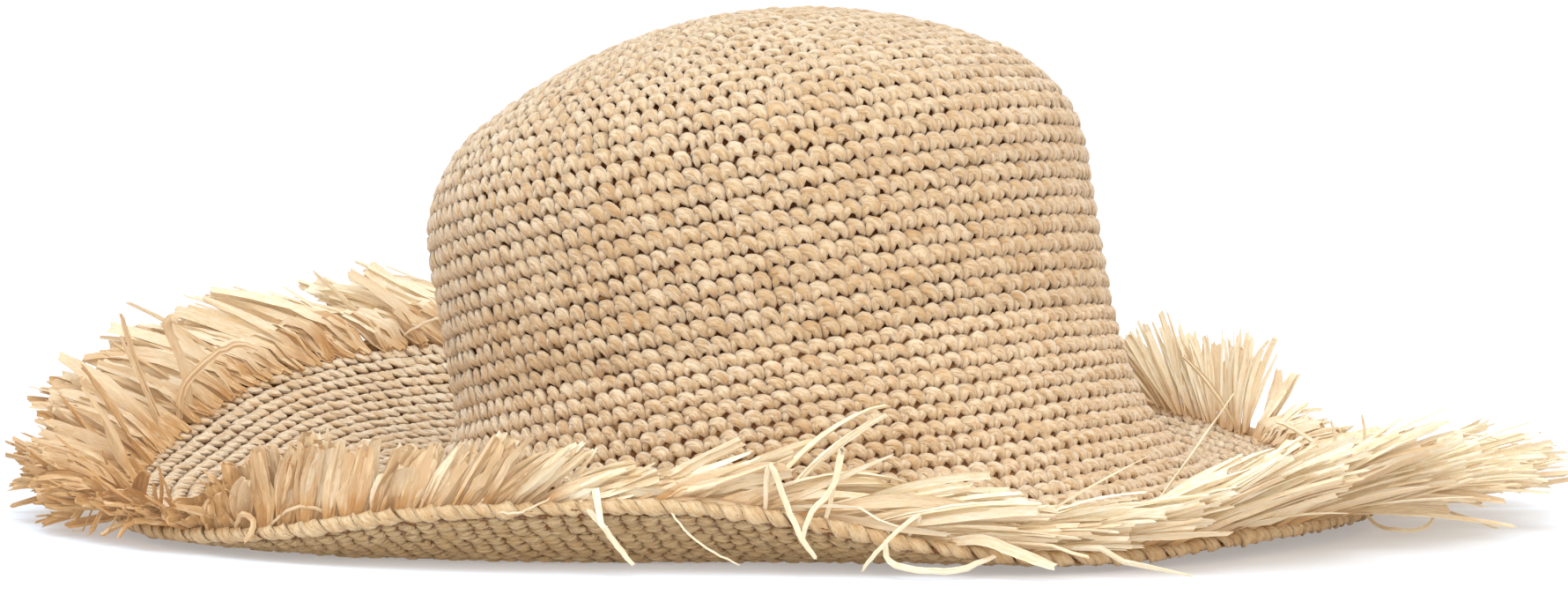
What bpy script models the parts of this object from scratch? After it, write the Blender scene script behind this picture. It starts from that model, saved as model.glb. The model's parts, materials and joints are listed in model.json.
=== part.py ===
"""Crocheted raffia sun hat with a fringed brim, lying on a table.

The hat is worked in rounds from the middle of the crown tip, down the crown side and out
into the brim. Its last round holds tufts of cut raffia, and a ribbon sweatband is sewn
inside the opening. The hat is soft: the crown leans, and the brim lies on the table in
waves, flat where it touches it and turned up elsewhere.

Units are metres, +Z is up, +X is the wearer's front and the table is z = 0.
"""
import math

import bmesh
import bpy
import numpy as np

# ---- driving dimensions -------------------------------------------------------------
CROWN_RADIUS = 0.0935          # middle of the crochet, for a 57 to 58 cm head
CROWN_HEIGHT = 0.0985          # from the brim's first round to the middle of the tip
SHOULDER_RADIUS = 0.036        # rounding between the side and the tip
TIP_RADIUS = 0.142             # gentle dome of the tip
SPLIT_ANGLE = math.radians(48)   # where on the shoulder the tip's rounds meet the side's
CROCHET_THICKNESS = 0.0036
LEAN_LEFT = math.radians(9.4)    # the crown leans to -X ...
LEAN_BACK = math.radians(7.5)    # ... and to +Y
CROWN_BASE = np.array([0.0003, -0.0262, 0.0437])   # middle of the brim's first round
GAP = 0.0004                   # clearance between pieces that touch

EDGE_HALF_WIDTH = 0.0026       # the last round is thicker than the others
EDGE_HALF_HEIGHT = 0.0025
BRIM_SOFTNESS = 0.004          # how gradually the brim comes down onto the table

SWEATBAND_HEIGHT = 0.026
SWEATBAND_START = 0.001        # above the brim's first round
SWEATBAND_THICKNESS = 0.0009
SWEATBAND_SLIT = 0.002         # between the ribbon's ends, at the wearer's back
JOIN_WIDTH = 0.016             # ribbon tab over the slit
THREAD_RADIUS = 0.0004
THREAD_HEIGHT = 0.0035         # stitching above the sweatband's lower edge

FRINGE_GROUPS = 30
FRINGE_THICKNESS = 0.0042
FRINGE_ROOT_LIFT = 0.0006      # tufts start this far above the edge round
FRINGE_SIDE_GAP = 0.0016       # between one group of tufts and the next

AROUND = 64                    # facets round the hat
BRIM_STEPS = 12
SIDE_STEPS = 6
TIP_STEPS = 7

# How the brim lies, at a few azimuths from +X anticlockwise (degrees):
# azimuth, length that still follows the crown's wall, reach of the rim from the crown's
# middle, height of the rim, angle that the rim turns up, length that follows that angle
# (millimetres and degrees).
BRIM_LIE = [
    (0, 48, 169, 5, -4, 42),
    (30, 44, 172, 14, 12, 50),
    (55, 46, 178, 25, 24, 55),
    (90, 52, 186, 34, 34, 64),
    (120, 42, 195, 41, 34, 64),
    (145, 28, 194, 34, 27, 60),
    (165, 24, 193, 17, 14, 55),
    (185, 25, 193, 7, 3, 50),
    (205, 34, 190, 4.5, 8, 45),
    (220, 52, 183, 9, 22, 48),
    (235, 64, 170, 17, 32, 50),
    (258, 69, 151, 20, 36, 48),
    (272, 67, 151, 16, 30, 48),
    (284, 63, 157, 9, 16, 48),
    (300, 57, 166, 4, 5, 45),
    (320, 53, 166, 6, 3, 42),
    (340, 49, 168, 5.5, -2, 42),
]

# How the fringe lies: azimuth (degrees), direction of the tufts (x, y, z) and their
# length (millimetres).
FRINGE_LIE = [
    (0, 0.95, 0.03, 0.20, 53),
    (14, 0.80, 0.45, 0.30, 40),
    (30, 0.15, 0.50, 0.75, 30),
    (48, -0.30, 0.30, 0.90, 36),
    (70, -0.35, 0.40, 0.85, 40),
    (95, -0.40, 0.50, 0.75, 42),
    (120, -0.60, 0.45, 0.56, 46),
    (150, -0.76, 0.28, 0.50, 46),
    (175, -0.89, 0.12, 0.38, 33),
    (195, -0.85, -0.20, 0.34, 27),
    (208, -0.45, -0.35, 0.75, 22),
    (222, -0.05, -0.10, 0.95, 25),
    (238, 0.45, 0.15, 0.85, 34),
    (255, 0.72, 0.35, 0.55, 44),
    (272, 0.80, 0.28, 0.46, 50),
    (290, 0.86, 0.00, 0.38, 50),
    (312, 0.92, -0.08, 0.30, 50),
    (338, 0.96, -0.08, 0.24, 52),
]


# ---- shape of the hat ---------------------------------------------------------------
def around(table, azimuth):
    """Smooth values between a table's azimuths, closed round the hat."""
    angles = [math.radians(row[0]) for row in table]
    count = len(table)
    azimuth = azimuth % math.tau
    here = max(k for k in range(count) if angles[k] <= azimuth + 1e-9)

    def angle_at(k):
        return angles[k % count] + math.tau * (k // count)

    def values_at(k):
        return np.array(table[k % count][1:], dtype=float)

    start, end = angle_at(here), angle_at(here + 1)
    span = end - start
    t = (azimuth - start) / span
    slope_start = (values_at(here + 1) - values_at(here - 1)) / (end - angle_at(here - 1))
    slope_end = (values_at(here + 2) - values_at(here)) / (angle_at(here + 2) - start)
    value = (2 * t ** 3 - 3 * t ** 2 + 1) * values_at(here)
    value = value + (t ** 3 - 2 * t ** 2 + t) * slope_start * span
    value = value + (3 * t ** 2 - 2 * t ** 3) * values_at(here + 1)
    return value + (t ** 3 - t ** 2) * slope_end * span


def crown_frame():
    """The leaning crown's own axes: two across it and one up its middle."""
    up = np.array([-math.tan(LEAN_LEFT), math.tan(LEAN_BACK), 1.0])
    up = up / np.linalg.norm(up)
    across = np.array([1.0, 0.0, 0.0]) - up * up[0]
    across = across / np.linalg.norm(across)
    return across, np.cross(up, across), up


ACROSS_X, ACROSS_Y, CROWN_UP = crown_frame()


def outward(azimuth):
    """Direction out of the crown at an azimuth, square to its leaning axis."""
    return math.cos(azimuth) * ACROSS_X + math.sin(azimuth) * ACROSS_Y


def shoulder_start():
    """Height on the crown where its straight wall ends."""
    inset = CROWN_RADIUS - SHOULDER_RADIUS
    centre = CROWN_HEIGHT - TIP_RADIUS
    return centre + math.sqrt((TIP_RADIUS - SHOULDER_RADIUS) ** 2 - inset ** 2)


def crown_outline(angle):
    """Radius, height and outward normal where the crown's surface tilts up by angle."""
    inset = CROWN_RADIUS - SHOULDER_RADIUS
    top_centre = CROWN_HEIGHT - TIP_RADIUS
    tangent = math.atan2(shoulder_start() - top_centre, inset)
    normal = (math.cos(angle), math.sin(angle))
    if angle < tangent:
        radius = inset + SHOULDER_RADIUS * normal[0]
        return radius, shoulder_start() + SHOULDER_RADIUS * normal[1], normal
    return TIP_RADIUS * normal[0], top_centre + TIP_RADIUS * normal[1], normal


def on_crown(azimuth, radius, height):
    """Point in the hat's frame at a radius and height on the leaning crown."""
    return CROWN_BASE + radius * outward(azimuth) + height * CROWN_UP


def above_table(height):
    """Height of the brim's middle surface, eased down onto the table."""
    lowest = CROCHET_THICKNESS / 2 - 0.0004
    free = height - lowest
    return lowest + 0.5 * (free + math.sqrt(free ** 2 + BRIM_SOFTNESS ** 2)) - BRIM_SOFTNESS / 4


def brim_curve(azimuth, fractions):
    """Points of the brim's middle surface from the crown to the rim, evenly spaced."""
    drop, reach, lift, turn, run = around(BRIM_LIE, azimuth)
    drop, reach, lift, run = drop / 1000, reach / 1000, lift / 1000, run / 1000
    radial = np.array([math.cos(azimuth), math.sin(azimuth), 0.0])
    down_wall = math.sin(math.radians(3)) * outward(azimuth) - CROWN_UP
    start = CROWN_BASE + CROWN_RADIUS * outward(azimuth)
    end = CROWN_BASE * np.array([1.0, 1.0, 0.0]) + reach * radial
    end[2] = lift
    rim_way = math.cos(math.radians(turn)) * radial
    rim_way[2] = math.sin(math.radians(turn))
    second, third = start + drop * down_wall, end - run * rim_way
    points = []
    for t in np.linspace(0.0, 1.0, 90):
        point = (1 - t) ** 3 * start + 3 * (1 - t) ** 2 * t * second
        point = point + 3 * (1 - t) * t ** 2 * third + t ** 3 * end
        point[2] = above_table(point[2])
        points.append(point)
    points = np.array(points)
    steps = np.linalg.norm(np.diff(points, axis=0), axis=1)
    along = np.concatenate([[0.0], np.cumsum(steps)])
    wanted = np.array(fractions) * along[-1]
    return np.stack([np.interp(wanted, along, points[:, k]) for k in range(3)], axis=1)


def surface_normals(grid):
    """Upper-side normals of a grid of points, closed along its first direction."""
    round_hat = np.roll(grid, -1, axis=0) - np.roll(grid, 1, axis=0)
    along = np.gradient(grid, axis=1)
    normals = np.cross(along, round_hat)
    return normals / np.linalg.norm(normals, axis=2, keepdims=True)


# ---- mesh helpers -------------------------------------------------------------------
def make_material(name, colour, roughness):
    material = bpy.data.materials.new(name)
    material.use_nodes = True
    shader = material.node_tree.nodes["Principled BSDF"]
    shader.inputs["Base Color"].default_value = (*colour, 1.0)
    shader.inputs["Roughness"].default_value = roughness
    shader.inputs["Metallic"].default_value = 0.0
    return material


def add_object(name, points, faces, material, smooth=True):
    mesh = bpy.data.meshes.new(name)
    mesh.from_pydata([tuple(p) for p in points], [], faces)
    body = bmesh.new()
    body.from_mesh(mesh)
    bmesh.ops.recalc_face_normals(body, faces=body.faces)
    bmesh.ops.triangulate(body, faces=body.faces)
    body.to_mesh(mesh)
    body.free()
    if smooth:
        mesh.shade_smooth()
        mesh.set_sharp_from_angle(angle=math.radians(40))
    mesh.materials.append(material)
    item = bpy.data.objects.new(name, mesh)
    bpy.context.scene.collection.objects.link(item)
    item.parent = HAT
    return item


def ring_body(sections):
    """Points and faces of a closed ring whose cross-sections are given in order."""
    count, size = len(sections), len(sections[0])
    faces = []
    for i in range(count):
        for j in range(size):
            a, b = i * size, ((i + 1) % count) * size
            k = (j + 1) % size
            faces.append((a + j, a + k, b + k, b + j))
    return [p for section in sections for p in section], faces


def bar_body(sections):
    """Points and faces of a bar whose cross-sections are given in order, with flat ends."""
    count, size = len(sections), len(sections[0])
    faces = [tuple(range(size)), tuple((count - 1) * size + j for j in reversed(range(size)))]
    for i in range(count - 1):
        for j in range(size):
            a, b = i * size, (i + 1) * size
            k = (j + 1) % size
            faces.append((a + j, b + j, b + k, a + k))
    return [p for section in sections for p in section], faces


def azimuths(count=AROUND):
    return [math.tau * i / count for i in range(count)]


# ---- sub-parts ----------------------------------------------------------------------
def crown_tip(material):
    """Domed top of the crown, a shell open underneath."""
    angles = np.linspace(SPLIT_ANGLE, math.pi / 2, TIP_STEPS + 1)[:-1]
    gap_angle = GAP / SHOULDER_RADIUS
    half = CROCHET_THICKNESS / 2
    points, faces = [], []
    for side in (half, -half):
        for step, angle in enumerate(angles):
            angle = angle + gap_angle if step == 0 else angle
            radius, height, normal = crown_outline(angle)
            for azimuth in azimuths():
                points.append(on_crown(azimuth, radius + side * normal[0], height + side * normal[1]))
        points.append(CROWN_BASE + (CROWN_HEIGHT + side) * CROWN_UP)
    layer = TIP_STEPS * AROUND + 1
    for first, outside in ((0, True), (layer, False)):
        for ring in range(TIP_STEPS):
            for i in range(AROUND):
                j = (i + 1) % AROUND
                low_a, low_b = first + ring * AROUND + i, first + ring * AROUND + j
                if ring == TIP_STEPS - 1:
                    face = (low_a, low_b, first + layer - 1)
                else:
                    face = (low_a, low_b, low_b + AROUND, low_a + AROUND)
                faces.append(face if outside else tuple(reversed(face)))
    for i in range(AROUND):
        j = (i + 1) % AROUND
        faces.append((j, i, layer + i, layer + j))
    return add_object("crown_tip", points, faces, material)


def crown_side(material):
    """Wall of the crown, from the brim's first round up to the shoulder."""
    wall_top = shoulder_start()
    outline = []
    for height in np.linspace(GAP, wall_top, SIDE_STEPS)[:-1]:
        outline.append((CROWN_RADIUS, height, (1.0, 0.0)))
    for angle in np.linspace(0.0, SPLIT_ANGLE, SIDE_STEPS):
        outline.append(crown_outline(angle))
    half = CROCHET_THICKNESS / 2
    sections = []
    for azimuth in azimuths():
        outer = [on_crown(azimuth, r + half * n[0], h + half * n[1]) for r, h, n in outline]
        inner = [on_crown(azimuth, r - half * n[0], h - half * n[1]) for r, h, n in outline]
        sections.append(outer + inner[::-1])
    return add_object("crown_side", *ring_body(sections), material)


def brim_rim_length():
    """Share of the brim's width that the edge round takes."""
    return 2 * EDGE_HALF_WIDTH / 0.108


def brim(material):
    """Wavy brim, flat on the table where it touches it."""
    last = 1.0 - brim_rim_length()
    fractions = np.linspace(GAP / 0.108, last, BRIM_STEPS + 1)
    middle = np.array([brim_curve(azimuth, fractions) for azimuth in azimuths()])
    offset = surface_normals(middle) * CROCHET_THICKNESS / 2
    upper, lower = middle + offset, middle - offset
    lower[:, :, 2] = np.maximum(lower[:, :, 2], 0.0)
    sections = [list(upper[i]) + list(lower[i][::-1]) for i in range(AROUND)]
    return add_object("brim", *ring_body(sections), material)


def rim_frames(count):
    """Middle of the edge round, with its outward and upper directions, round the hat."""
    share = brim_rim_length()
    grid = np.array([brim_curve(a, [1.0 - share, 1.0 - share / 2, 1.0]) for a in azimuths(count)])
    upper = surface_normals(grid)[:, 1]
    out = grid[:, 2] - grid[:, 0]
    out = out / np.linalg.norm(out, axis=1, keepdims=True)
    return grid[:, 1], out, upper


def edge_round(material):
    """Thick last round of crochet that grips the fringe."""
    middle, out, upper = rim_frames(AROUND)
    sections = []
    for i in range(AROUND):
        section = []
        for k in range(8):
            turn = math.tau * k / 8
            across = (EDGE_HALF_WIDTH - GAP) * math.cos(turn)
            high = EDGE_HALF_HEIGHT * math.sin(turn)
            point = middle[i] + GAP * out[i] + across * out[i] + high * upper[i]
            point[2] = max(point[2], 0.0)
            section.append(point)
        sections.append(section)
    return add_object("edge_round", *ring_body(sections), material)


def sweatband_radii():
    outer = CROWN_RADIUS - CROCHET_THICKNESS / 2 - GAP
    return outer, outer - SWEATBAND_THICKNESS


def band_bar(name, start, end, outer, inner, low, high, steps, material):
    """Curved strip inside the crown between two azimuths."""
    sections = []
    for azimuth in np.linspace(start, end, steps + 1):
        corners = [(outer, low), (outer, high), (inner, high), (inner, low)]
        sections.append([on_crown(azimuth, radius, height) for radius, height in corners])
    return add_object(name, *bar_body(sections), material, smooth=False)


def sweatband(material):
    """Grosgrain ribbon round the inside of the opening, its ends meeting at the back."""
    outer, inner = sweatband_radii()
    half_slit = SWEATBAND_SLIT / 2 / outer
    low, high = SWEATBAND_START, SWEATBAND_START + SWEATBAND_HEIGHT
    start, end = math.pi + half_slit, 3 * math.pi - half_slit
    return band_bar("sweatband", start, end, outer, inner, low, high, AROUND, material)


def sweatband_join(material):
    """Short ribbon tab that covers the slit between the sweatband's ends."""
    outer = sweatband_radii()[1] - GAP
    half = JOIN_WIDTH / 2 / outer
    low, high = SWEATBAND_START + 0.0005, SWEATBAND_START + SWEATBAND_HEIGHT - 0.0005
    inner = outer - SWEATBAND_THICKNESS
    return band_bar("sweatband_join", math.pi - half, math.pi + half, outer, inner, low, high, 4, material)


def sweatband_stitching(material):
    """Sewing thread along the sweatband's lower edge, from one side of the tab to the other."""
    radius = sweatband_radii()[1] - GAP - THREAD_RADIUS
    clear = (JOIN_WIDTH / 2 + 0.002) / radius
    height = SWEATBAND_START + THREAD_HEIGHT
    sections = []
    for azimuth in np.linspace(math.pi + clear, 3 * math.pi - clear, AROUND + 1):
        section = []
        for k in range(5):
            turn = math.tau * k / 5
            at_radius = radius + THREAD_RADIUS * math.cos(turn)
            section.append(on_crown(azimuth, at_radius, height + THREAD_RADIUS * math.sin(turn)))
        sections.append(section)
    return add_object("sweatband_stitching", *bar_body(sections), material)


def fringe_group(number, material):
    """One run of neighbouring tufts as a single slab with ragged cut ends."""
    columns, rows = 6, 3
    share = 1.0 / FRINGE_GROUPS
    fine = 720
    middle, out, upper = rim_frames(fine)
    circumference = np.linalg.norm(middle - np.roll(middle, 1, axis=0), axis=1).sum()
    inset = FRINGE_SIDE_GAP / 2 / circumference
    slab_top, slab_low = [], []
    for column in range(columns + 1):
        turn = number * share + inset + (share - 2 * inset) * column / columns
        here = int(round(turn * fine)) % fine
        x, y, z, length = around(FRINGE_LIE, turn * math.tau)
        way = np.array([x, y, z]) / np.linalg.norm([x, y, z])
        ragged = 0.86 if column % 2 else 1.0
        length = length / 1000 * ragged
        along_rim = np.cross(upper[here], out[here])
        thick = np.cross(way, along_rim)
        thick = thick / np.linalg.norm(thick)
        lift = EDGE_HALF_HEIGHT + FRINGE_ROOT_LIFT + FRINGE_THICKNESS / 2
        root = middle[here] + lift * upper[here] + 0.0015 * out[here]
        tops, lows = [], []
        for row in range(rows + 1):
            part = row / rows
            half = FRINGE_THICKNESS / 2 * (1.0 - 0.45 * part)
            point = root + way * length * part
            tops.append(point + thick * half)
            lows.append(point - thick * half)
        slab_top.append(tops)
        slab_low.append(lows)
    sections = [slab_top[c] + slab_low[c][::-1] for c in range(columns + 1)]
    name = f"fringe_{number + 1:02d}"
    return add_object(name, *bar_body(sections), material, smooth=False)


# ---- build --------------------------------------------------------------------------
for old in list(bpy.data.objects):
    bpy.data.objects.remove(old, do_unlink=True)

HAT = bpy.data.objects.new("hat", None)
bpy.context.scene.collection.objects.link(HAT)

crown_tip(make_material("raffia_crown_tip", (0.76, 0.58, 0.36), 0.75))
crown_side(make_material("raffia_crown_side", (0.74, 0.55, 0.33), 0.75))
brim(make_material("raffia_brim", (0.72, 0.53, 0.31), 0.75))
edge_round(make_material("raffia_edge_round", (0.72, 0.52, 0.29), 0.75))
sweatband(make_material("grosgrain_ribbon", (0.72, 0.63, 0.48), 0.85))
sweatband_join(make_material("grosgrain_tab", (0.70, 0.61, 0.46), 0.85))
sweatband_stitching(make_material("sewing_thread", (0.80, 0.74, 0.62), 0.80))
FRINGE_MATERIAL = make_material("raffia_fringe", (0.87, 0.70, 0.44), 0.65)
for group in range(FRINGE_GROUPS):
    fringe_group(group, FRINGE_MATERIAL)
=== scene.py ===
"""Looks of a crocheted raffia sun hat with a fringed brim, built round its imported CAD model.

The crochet is real geometry: every stitch is two closed strands that lie on the crown's or
the brim's surface, and the underside is made of flatter loops. The fringe is cut raffia leaf,
each strip a closed, creased ribbon. Units are metres, +Z is up and the table is z = 0.
"""
import json
import math

import bpy
import numpy as np
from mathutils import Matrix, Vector
from mathutils.bvhtree import BVHTree

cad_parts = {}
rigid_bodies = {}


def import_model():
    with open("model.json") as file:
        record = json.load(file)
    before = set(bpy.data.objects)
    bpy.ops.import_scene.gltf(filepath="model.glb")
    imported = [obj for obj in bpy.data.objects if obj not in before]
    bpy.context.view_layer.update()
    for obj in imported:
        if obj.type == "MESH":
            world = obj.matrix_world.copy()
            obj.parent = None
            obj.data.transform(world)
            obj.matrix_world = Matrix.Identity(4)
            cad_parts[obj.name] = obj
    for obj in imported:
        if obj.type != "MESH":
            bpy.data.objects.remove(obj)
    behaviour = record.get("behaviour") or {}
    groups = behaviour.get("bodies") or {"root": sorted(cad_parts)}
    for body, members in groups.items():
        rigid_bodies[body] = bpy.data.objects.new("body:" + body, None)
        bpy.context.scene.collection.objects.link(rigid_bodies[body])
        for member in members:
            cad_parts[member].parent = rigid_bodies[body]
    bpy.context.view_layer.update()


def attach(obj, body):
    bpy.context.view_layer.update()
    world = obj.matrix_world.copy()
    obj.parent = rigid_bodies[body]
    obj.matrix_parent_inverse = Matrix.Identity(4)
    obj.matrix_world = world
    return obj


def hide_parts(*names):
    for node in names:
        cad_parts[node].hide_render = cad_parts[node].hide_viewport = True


# ---- sizes, the same as in the CAD source ----
CROWN_RADIUS = 0.0935
CROWN_HEIGHT = 0.0985
SHOULDER_RADIUS = 0.036
TIP_RADIUS = 0.142
CROCHET_THICKNESS = 0.0036
LEAN_LEFT = math.radians(9.4)
LEAN_BACK = math.radians(7.5)
CROWN_BASE = np.array([0.0003, -0.0262, 0.0437])
EDGE_HALF_WIDTH = 0.0026
BRIM_SOFTNESS = 0.004
GAP = 0.0004
SWEATBAND_HEIGHT = 0.026
SWEATBAND_START = 0.001
SWEATBAND_THICKNESS = 0.0009
SWEATBAND_SLIT = 0.002
JOIN_WIDTH = 0.016
THREAD_RADIUS = 0.0004
THREAD_HEIGHT = 0.0035
FRINGE_GROUPS = 30

# How the brim lies: azimuth, length that still follows the crown's wall, reach of the rim,
# height of the rim, angle that the rim turns up, length that follows that angle
# (millimetres and degrees).
BRIM_LIE = [
    (0, 48, 169, 5, -4, 42),
    (30, 44, 172, 14, 12, 50),
    (55, 46, 178, 25, 24, 55),
    (90, 52, 186, 34, 34, 64),
    (120, 42, 195, 41, 34, 64),
    (145, 28, 194, 34, 27, 60),
    (165, 24, 193, 17, 14, 55),
    (185, 25, 193, 7, 3, 50),
    (205, 34, 190, 4.5, 8, 45),
    (220, 52, 183, 9, 22, 48),
    (235, 64, 170, 17, 32, 50),
    (258, 69, 151, 20, 36, 48),
    (272, 67, 151, 16, 30, 48),
    (284, 63, 157, 9, 16, 48),
    (300, 57, 166, 4, 5, 45),
    (320, 53, 166, 6, 3, 42),
    (340, 49, 168, 5.5, -2, 42),
]

# How the fringe lies: azimuth, direction of the tufts (x, y, z), length (millimetres), how
# unruly the strips are, how wide they are beside the usual and how much painted shade they get.
FRINGE_LIE = [
    (0, 0.97, 0.03, 0.20, 54, 0.02, 0.85, 0.00),
    (14, 0.94, 0.28, 0.07, 40, 0.06, 0.70, 0.00),
    (26, 0.80, 0.40, 0.12, 23, 0.10, 0.65, 0.01),
    (35, 0.15, 0.40, 0.85, 26, 0.10, 0.60, 0.02),
    (44, -0.35, 0.35, 0.75, 29, 0.08, 0.60, 0.02),
    (54, -0.62, 0.30, 0.62, 32, 0.08, 0.70, 0.02),
    (70, -0.72, 0.35, 0.54, 36, 0.05, 0.80, 0.03),
    (95, -0.76, 0.35, 0.50, 46, 0.03, 1.15, 0.04),
    (120, -0.86, 0.30, 0.29, 45, 0.05, 1.30, 0.04),
    (150, -0.90, 0.20, 0.25, 42, 0.09, 1.35, 0.07),
    (172, -0.90, 0.04, 0.40, 32, 0.15, 1.30, 0.12),
    (193, -0.88, -0.20, 0.22, 26, 0.24, 1.15, 0.18),
    (203, -0.55, -0.55, 0.28, 18, 0.42, 1.00, 0.20),
    (212, -0.15, -0.62, 0.50, 14, 0.40, 1.10, 0.22),
    (219, -0.05, -0.20, 0.90, 21, 0.09, 1.90, 0.10),
    (236, 0.40, 0.10, 0.72, 21, 0.09, 1.80, 0.05),
    (246, 0.78, 0.18, 0.36, 27, 0.14, 1.30, 0.01),
    (258, 0.92, 0.18, 0.18, 39, 0.10, 1.10, 0.01),
    (272, 0.94, 0.05, 0.14, 47, 0.06, 1.05, 0.00),
    (288, 0.94, -0.10, 0.09, 49, 0.04, 1.00, 0.00),
    (300, 0.88, 0.02, 0.38, 50, 0.03, 1.00, 0.00),
    (315, 0.84, 0.10, 0.44, 50, 0.02, 0.95, 0.00),
    (330, 0.90, 0.04, 0.34, 50, 0.03, 0.90, 0.00),
    (345, 0.95, 0.02, 0.24, 52, 0.03, 0.90, 0.00),
]

# Single strips that stand out of the fringe: azimuth of the root, half width (millimetres)
# and points along the strip from its root (millimetres).
STRAYS = [
    (163, 0.9, [(-4, 0, 8), (-7.5, 0, 16), (-11, 0, 27), (-13, 0, 34)]),
    (164, 0.6, [(-3, -1, 9), (-8, -1, 20), (-12, 0, 29)]),
    (168, 1.2, [(-6, 0, 6), (-12, 0, 14), (-17, -1, 18), (-19, -1, 20)]),
    (158, 1.4, [(-1, 0, 10), (-3.5, 0, 18), (-6.5, 0, 25), (-5, -1, 28), (-3, -2, 27)]),
    (160, 1.3, [(1, -1, 9), (6, -1, 15), (12, -1, 20), (18, -2, 22), (23, -3, 21)]),
    (128, 0.5, [(6, -2, 4), (13, -3, 6), (20, -4, 8)]),
    (197, 1.3, [(-5, -2, -1), (-11, -4, -2), (-16, -5, -3)]),
    (203, 0.8, [(-3, -3, 1), (-8, -5, -1), (-12, -7, -3)]),
    (206, 0.7, [(-4, -4, 2), (-9, -6, 0), (-11, -8, -3)]),
    (221, 0.5, [(6, -5, 5), (13, -6, 5), (18, -7, 2), (20, -7, -1)]),
    (217, 0.8, [(2, -6, 4), (5, -8, 3), (5, -9, 0), (3, -10, -3)]),
    (250, 0.8, [(4, -4, -4), (9, -6, -10), (14, -7, -16)]),
    (258, 0.3, [(4, -4, -6), (11, -6, -12), (19, -7, -16)]),
    (241, 0.3, [(6, -4, -2), (12, -5, -1), (18, -4, 2)]),
    (268, 0.8, [(1, -4, 12), (5, -5, 3), (9, -7, -6), (13, -8, -12)]),
    (274, 0.8, [(4, -3, 18), (2, -5, 9), (-4, -6, 2), (-6, -6, -5)]),
    (282, 0.6, [(3, -4, 6), (-3, -6, 2), (-9, -7, -4), (-12, -7, -8)]),
    (286, 1.5, [(8, -6, 1), (17, -10, -2), (26, -13, -5)]),
    (12, 0.8, [(-5, 0, 4), (-10, 0, 8), (-16, 0, 12), (-21, 0, 14)]),
    (8, 0.5, [(1, 0, 6), (2, 0, 11), (1, 0, 18)]),
    (16, 0.6, [(0, 0, 4), (0, 0, 8), (-1, 0, 12)]),
    (6, 0.3, [(15, 0, 10), (30, 0, 12), (42, 0, 11), (50, 0, 12)]),
    (3, 0.3, [(20, 2, 13), (33, 2, 14), (44, 2, 11), (48, 2, 8)]),
    (352, 0.5, [(10, -6, 0), (21, -18, -2), (31, -38, -4)]),
    (280, 0.9, [(0, -6, -7), (8, -9, -9), (18, -8, -9), (27, -4, -6)]),
    (344, 0.6, [(3, -8, -4), (8, -14, -5), (16, -12, -5), (20, -2, -3)]),
]

# ---- sizes of the crochet and the fringe ----
CROWN_ROUNDS = 32
DRIFT = 0.25                   # most that a round starts past the one before, in stitches
BRIM_ROUNDS = 23
STITCH_WIDTH = 0.00495
STITCH_UNIT = 0.0050           # length of 1 across, along and out of a stitch's own axes
STRAND_GIRTH = 1.2             # how far the fibres' pattern runs round a strand, in such units
SEED_RANGE = 200.0             # spreads the strands over the pattern, so that each one differs
FLOOR_CLEARANCE = 0.00015
TUFTS_PER_GROUP = 5
STRIPS_PER_TUFT = 19
RIM_STEPS = 720

# A stitch's strands in its own units: across the stitch, up to the round before, out of the
# surface, half width and half height at points along the strand.
STRAND_OVER = [
    (-0.55, 0.08, -0.23, 0.13, 0.08),
    (-0.36, 0.21, -0.05, 0.26, 0.15),
    (-0.06, 0.20, 0.04, 0.35, 0.17),
    (0.21, 0.00, 0.07, 0.35, 0.17),
    (0.32, -0.25, 0.02, 0.28, 0.16),
    (0.35, -0.46, -0.12, 0.17, 0.12),
    (0.32, -0.66, -0.30, 0.11, 0.08),
]
STRAND_UNDER = [
    (-0.10, 0.10, -0.09, 0.22, 0.13),
    (-0.25, -0.10, 0.01, 0.30, 0.17),
    (-0.33, -0.36, -0.04, 0.20, 0.15),
    (-0.29, -0.62, -0.27, 0.12, 0.09),
]
# Loops on the wrong side of the crochet, which lie across each stitch.
WRONG_LOOPS = [
    [
        (-0.48, 0.34, -0.20, 0.14, 0.08),
        (-0.22, 0.26, -0.30, 0.29, 0.15),
        (0.16, 0.25, -0.31, 0.30, 0.15),
        (0.46, 0.32, -0.20, 0.14, 0.08),
    ],
    [
        (-0.44, -0.14, -0.20, 0.14, 0.08),
        (-0.16, -0.08, -0.29, 0.28, 0.14),
        (0.20, -0.12, -0.30, 0.28, 0.14),
        (0.48, -0.24, -0.20, 0.14, 0.08),
    ],
    [
        (-0.36, -0.46, -0.20, 0.12, 0.07),
        (-0.04, -0.40, -0.27, 0.20, 0.11),
        (0.34, -0.48, -0.20, 0.12, 0.07),
    ],
]
# How much strands differ from these, as standard deviations.
PLACE_SPREAD = 0.030
HEIGHT_SPREAD = 0.022
SIZE_SPREAD = 0.07
TILT_SPREAD = 0.09
UNDERSIDE_LOOSENESS = 1.3      # how uneven the brim's wrong side is beside the right side
WRONG_SIDE = -0.20             # strands that lie deeper than this belong to the wrong side
WRONG_TOP = -0.30              # how deep the wrong side's own outer face lies
BACKING_TOP = -0.13            # the layer between the two sides, dark as painted shade, in the same units
BACKING_BOTTOM = -0.24

# ---- camera ----
CAMERA_DISTANCE = 1.60
CAMERA_ELEVATION = math.radians(4.0)
CAMERA_TARGET = Vector((0.0003, -0.0262, 0.0608))
CAMERA_LENS = 129.4


def remove_everything():
    for old in list(bpy.data.objects):
        bpy.data.objects.remove(old, do_unlink=True)


def new_object(name, data):
    thing = bpy.data.objects.new(name, data)
    bpy.context.scene.collection.objects.link(thing)
    return thing


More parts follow.
